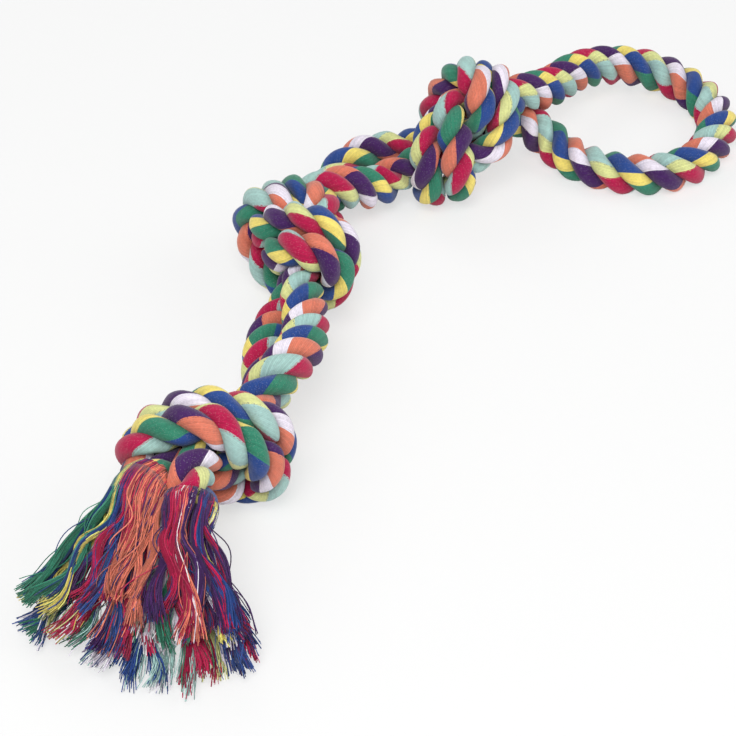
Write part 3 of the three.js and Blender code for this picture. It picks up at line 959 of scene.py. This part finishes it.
def thread_path(tuft, stub, lock, yarn, fan, tassel, chance):
    """A thread from the stub to its tip, and how many of its points are its root's."""
    loose = chance.random() < tassel.loose
    points = LOOSE_POINTS if loose else THREAD_POINTS
    part = np.linspace(0, yarn.length * chance.uniform(*THREAD_LENGTHS), points)
    swing = lock.sway.at(part) + yarn.wave.at(part)
    swing += Wave(LOOSE_WAVE * tassel.wave if loose else CRIMP, THREAD_TURNS, chance).at(part)
    path = tuft.swung(tuft.at(part, lock.places(yarn.places(part, chance), part)), swing)
    near = 0
    if np.linalg.norm(path[0] - stub.tip) > STUB_HEART:
        over, near = stub.over(path[0], fan, chance)
        left = 1 - smoothed(0, FAN_JOINED if fan[0] else JOINED, part)[:, None]
        path = path + left * (over[-1] - path[0])
        if fan[0]:
            path = path + FAN_LIFT * np.sin(math.pi * left) * tuft.up
        path = np.concatenate([over[:-1], path])
    path[:, 2] = np.maximum(path[:, 2], tassel.thread_radius)
    return path, near


def curl_path(tuft, lock, chance):
    """A stray thread that comes out of its lock and curls over on itself."""
    part = np.linspace(chance.uniform(*CURL_STARTS), CURL_END, LOOSE_POINTS)
    t = (part - part[0]) / (part[-1] - part[0])
    turn = math.tau * chance.uniform(*CURL_TURNS) * t + chance.uniform(0, CURL_PHASE)
    swing = CURL_SIZE * t[:, None] * np.column_stack([np.cos(turn), np.sin(turn)])
    swing[:, 1] += CURL_RISE * CURL_SIZE * smoothed(0, CURL_RISEN, t)
    places = lock.places(np.array(CURL_PLACE), part)
    return tuft.swung(tuft.at(part, places), swing + lock.sway.at(part))


def core_mesh(points, streaks, left, width):
    """The closed body of a lock, with a dye for each column and its place on the bake map."""
    mesh, row, column = tube_grid("lock_core", points)
    colours = np.column_stack([streaks, np.ones(len(streaks))])[column]
    mesh.attributes.new(DYE, "FLOAT_COLOR", "POINT").data.foreach_set("color", colours.ravel())
    corners = read(mesh.loops, "vertex_index", 1, int)[:, 0]
    across = left + width * inset(column[corners] / CORE_COLUMNS)
    place = np.stack([across, CORE_BAND * inset(row[corners] / CORE_ROWS)], 1)
    mesh.uv_layers.new(name=BAKE_UV).uv.foreach_set("vector", place.ravel())
    close_tube(mesh)
    return mesh


def inset(part):
    """A share of a bake map's cell, kept clear of the cell's edges."""
    return CELL_INSET + (1 - 2 * CELL_INSET) * part


def swept_threads(name, threads, tassel):
    """Threads swept along their paths as one mesh, with four sides each."""
    line = bpy.data.curves.new(name, "CURVE")
    line.dimensions = "3D"
    line.bevel_depth = tassel.thread_radius
    line.bevel_resolution = 0
    line.use_fill_caps = True
    for path, _, thickness in threads:
        spline = line.splines.new("POLY")
        spline.points.add(len(path) - 1)
        spline.points.foreach_set("co", np.column_stack([path, np.ones(len(path))]).ravel())
        spline.points.foreach_set("radius", np.full(len(path), thickness))
    swept = new_object(name + "_line", line)
    bpy.context.view_layer.update()
    mesh = bpy.data.meshes.new_from_object(swept.evaluated_get(bpy.context.evaluated_depsgraph_get()))
    bpy.data.objects.remove(swept)
    bpy.data.curves.remove(line)
    mesh.name = name
    mesh.materials.clear()
    mesh.shade_smooth()
    return mesh


def thread_owners(mesh, threads):
    """The thread that each corner belongs to: the caps of the last thread to the first, then the sides."""
    caps = np.repeat(np.arange(len(threads))[::-1], THREAD_CAPS)
    sides = np.repeat(np.arange(len(threads)), [THREAD_SIDES * len(path) for path, _, _ in threads])
    owners = np.concatenate([caps, sides])
    if len(owners) != len(mesh.vertices):
        raise RuntimeError(f"{mesh.name} has {len(mesh.vertices)} corners and not {len(owners)}")
    return owners


def lay_cells(mesh, owners, number):
    """Moves each thread to its own cell of the bake map, with its caps at the cell's two ends."""
    layer = mesh.uv_layers[0]
    layer.name = BAKE_UV
    corners = read(mesh.loops, "vertex_index", 1, int)[:, 0]
    place = read(layer.uv, "vector", 2)
    cap = corners < THREAD_CAPS * number
    edge = CAP_WIDTH * (corners % THREAD_SIDES > 1)
    place[cap, 0] = np.where(corners % THREAD_CAPS < THREAD_SIDES, 1 - edge, edge)[cap]
    place[cap, 1] = ((corners + 1) % THREAD_SIDES > 1)[cap]
    cell = owners[corners]
    rows = math.ceil(number / CELL_COLUMNS)
    across = (cell % CELL_COLUMNS + inset(place[:, 0])) / CELL_COLUMNS
    up = CORE_BAND + (1 - CORE_BAND) * (cell // CELL_COLUMNS + inset(place[:, 1])) / rows
    layer.uv.foreach_set("vector", np.stack([across, up], 1).ravel())


def thread_piece(name, threads, cores, tassel):
    """Threads over the bodies of their locks, as one mesh with each thread's dye."""
    mesh = swept_threads(name, threads, tassel)
    owners = thread_owners(mesh, threads)
    dyes = np.array([(*tint, 1) for _, tint, _ in threads])
    mesh.attributes.new(DYE, "FLOAT_COLOR", "POINT").data.foreach_set("color", dyes[owners].ravel())
    lay_cells(mesh, owners, len(threads))
    bm = bmesh.new()
    bm.from_mesh(mesh)
    bmesh.ops.remove_doubles(bm, verts=bm.verts, dist=SEAM)
    for core in cores:
        bm.from_mesh(core)
        bpy.data.meshes.remove(core)
    bm.to_mesh(mesh)
    bm.free()
    return new_piece(name, mesh, cotton("combed_cotton"))


def seen_straight(start):
    """1 for what the camera sees, also in mirrors and through glass, and 0 for light on the toy."""
    rays = [start.node("LightPath", out=f"Is {ray} Ray") for ray in ("Camera", "Glossy", "Transmission")]
    return (rays[0] + rays[1] + rays[2]).clamped()


class ROPETOY_OT_stage(bpy.types.Operator):
    """Sets up the floor, the soft studio light and the camera"""

    bl_idname = "rope_toy.stage"
    bl_label = "Stage"

    def execute(self, context):
        stage = context.scene.rope_toy.stage
        self.place_camera(context, stage)
        self.lay_floor(stage)
        self.hang_lamps(stage)
        self.light_world(context)
        context.scene.view_settings.view_transform = "Standard"
        return {"FINISHED"}

    def place_camera(self, context, stage):
        ahead = Vector((
            -math.sin(stage.azimuth) * math.cos(stage.elevation),
            math.cos(stage.azimuth) * math.cos(stage.elevation),
            -math.sin(stage.elevation),
        ))
        lens = bpy.data.cameras.new("camera")
        lens.lens = stage.lens
        lens.clip_start = 0.01
        camera = new_object("camera", lens)
        camera.location = Vector(stage.aim) - stage.distance * ahead
        camera.rotation_euler = ahead.to_track_quat("-Z", "Y").to_euler()
        context.scene.camera = camera

    def lay_floor(self, stage):
        bm = bmesh.new()
        bmesh.ops.create_grid(bm, x_segments=1, y_segments=1, size=4)
        bmesh.ops.translate(bm, verts=bm.verts, vec=(0, 0, -FLOOR_DROP))
        mesh = bpy.data.meshes.new("floor")
        bm.to_mesh(mesh)
        bm.free()
        values = {"Base Color": (*stage.floor, 1), "Roughness": 0.9}
        material, shader, start = new_material("floor", values)
        lit = Shade(material.node_tree, shader.outputs[0])
        clear = start.node("BsdfTransparent")
        # Away from the toy the floor fades into the white studio
        far = start.node("VectorMath", {0: start.spot()}, out=1, operation="LENGTH")
        fade = ((far - FLOOR_FADES[0]) / (FLOOR_FADES[1] - FLOOR_FADES[0])).clamped()
        through_floor = seen_straight(start) * (FLOOR_CLEAR + fade * (1 - FLOOR_CLEAR))
        surface = start.node("MixShader", {0: through_floor, 1: lit, 2: clear})
        surface.feed(material.node_tree.nodes["Material Output"], "Surface")
        new_piece("floor", mesh, material)

    def hang_lamps(self, stage):
        for name, (place, size, power) in LAMPS.items():
            light = bpy.data.lights.new(name, "AREA")
            light.shape = "DISK"
            light.size = size
            light.energy = power
            lamp = new_object(name, light)
            lamp.location = place
            lamp.rotation_euler = (Vector(stage.aim) - Vector(place)).to_track_quat("-Z", "Y").to_euler()

    def light_world(self, context):
        world = bpy.data.worlds.new("studio")
        context.scene.world = world
        world.use_nodes = True
        glow = world.node_tree.nodes["Background"]
        glow.inputs["Color"].default_value = (1, 1, 1, 1)
        seen = seen_straight(Shade(world.node_tree))
        (STUDIO_LIGHT + seen * (1 - STUDIO_LIGHT)).feed(glow, "Strength")


class ROPETOY_OT_hand_loop(bpy.types.Operator):
    """Lays the rope of the hand loop"""

    bl_idname = "rope_toy.hand_loop"
    bl_label = "Hand loop"

    def execute(self, context):
        start, end = ROPE.reach("hand_loop")
        piece = laid_piece("laid_hand_loop", "hand_loop", start, end, context.scene.rope_toy)
        path = ROPE.centres(np.linspace(start, end, CORD_POINTS))
        far = np.linalg.norm(ROPE.ring((start + end) / 2) - path[CORD_POINTS // 2], axis=1)
        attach(piece, "loop")
        float(end - start)
        return {"FINISHED"}


class ROPETOY_OT_knots(bpy.types.Operator):
    """Lays the two legs of rope in each of the three knots"""

    bl_idname = "rope_toy.knots"
    bl_label = "Knots"

    def execute(self, context):
        for knot in KNOTS:
            for leg in "ab":
                node = f"{knot}_{leg}"
                piece = laid_piece("laid_" + node, node, *ROPE.reach(node), context.scene.rope_toy)
                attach(piece, knot)
        return {"FINISHED"}


class ROPETOY_OT_spans(bpy.types.Operator):
    """Lays the two legs of rope between the knots"""

    bl_idname = "rope_toy.spans"
    bl_label = "Spans"

    def execute(self, context):
        bending_pairs(SPANS, context.scene.rope_toy)
        return {"FINISHED"}


class ROPETOY_OT_necks(bpy.types.Operator):
    """Lays the rope where the loop and the tassel leave their knots"""

    bl_idname = "rope_toy.necks"
    bl_label = "Necks"

    def execute(self, context):
        bending_pairs(NECKS, context.scene.rope_toy)
        return {"FINISHED"}


class ROPETOY_OT_tufts(bpy.types.Operator):
    """Combs out the yarn of the tassel's eighteen tufts"""

    bl_idname = "rope_toy.tufts"
    bl_label = "Tufts"

    def execute(self, context):
        settings = context.scene.rope_toy
        stubs = {leg: Stub(leg) for leg in "ab"}
        bodies = NECKS["tassel_neck"]
        lines = [blend_line(half) for half in bending_halves("tassel_neck", bodies)]
        roots = []
        for k, key in enumerate(sorted(TUFT_LOCKS)):
            chance = np.random.default_rng(settings.tassel.seed * 100 + k)
            piece, started = combed_tuft(key, stubs[key[0]], settings, chance)
            roots += started
            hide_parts("tuft_" + key)
            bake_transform(piece)
        piece = thread_piece("combed_root_a", roots, [], settings.tassel)
        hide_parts("tassel_neck_a")
        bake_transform(piece)
        return {"FINISHED"}


class ROPETOY_PT_panel(bpy.types.Panel):
    """The toy's sizes, dyes and steps"""

    bl_label = "Rope Toy"
    bl_idname = "ROPETOY_PT_panel"
    bl_space_type = "VIEW_3D"
    bl_region_type = "UI"
    bl_category = "Rope Toy"

    def draw(self, context):
        settings = context.scene.rope_toy
        for group in (settings.rope, settings.tassel, settings.dyes, settings.stage):
            box = self.layout.box()
            box.label(text=group.bl_rna.description)
            for name in group.__annotations__:
                box.prop(group, name)
        for step in STEPS:
            self.layout.operator(step.bl_idname)


STEPS = [
    ROPETOY_OT_stage,
    ROPETOY_OT_hand_loop,
    ROPETOY_OT_knots,
    ROPETOY_OT_spans,
    ROPETOY_OT_necks,
    ROPETOY_OT_tufts,
]
CLASSES = [YarnDyes, RopeSizes, TasselSizes, StageSettings, RopeToySettings, *STEPS, ROPETOY_PT_panel]
ROPE = Rope()


def register():
    for made in CLASSES:
        bpy.utils.register_class(made)
    bpy.types.Scene.rope_toy = bpy.props.PointerProperty(type=RopeToySettings)


def unregister():
    del bpy.types.Scene.rope_toy
    for made in reversed(CLASSES):
        bpy.utils.unregister_class(made)


def main():
    register()
    bpy.ops.rope_toy.stage()
    bpy.ops.rope_toy.hand_loop()
    bpy.ops.rope_toy.knots()
    bpy.ops.rope_toy.spans()
    bpy.ops.rope_toy.necks()
    bpy.ops.rope_toy.tufts()


if __name__ == "__main__":
    main()
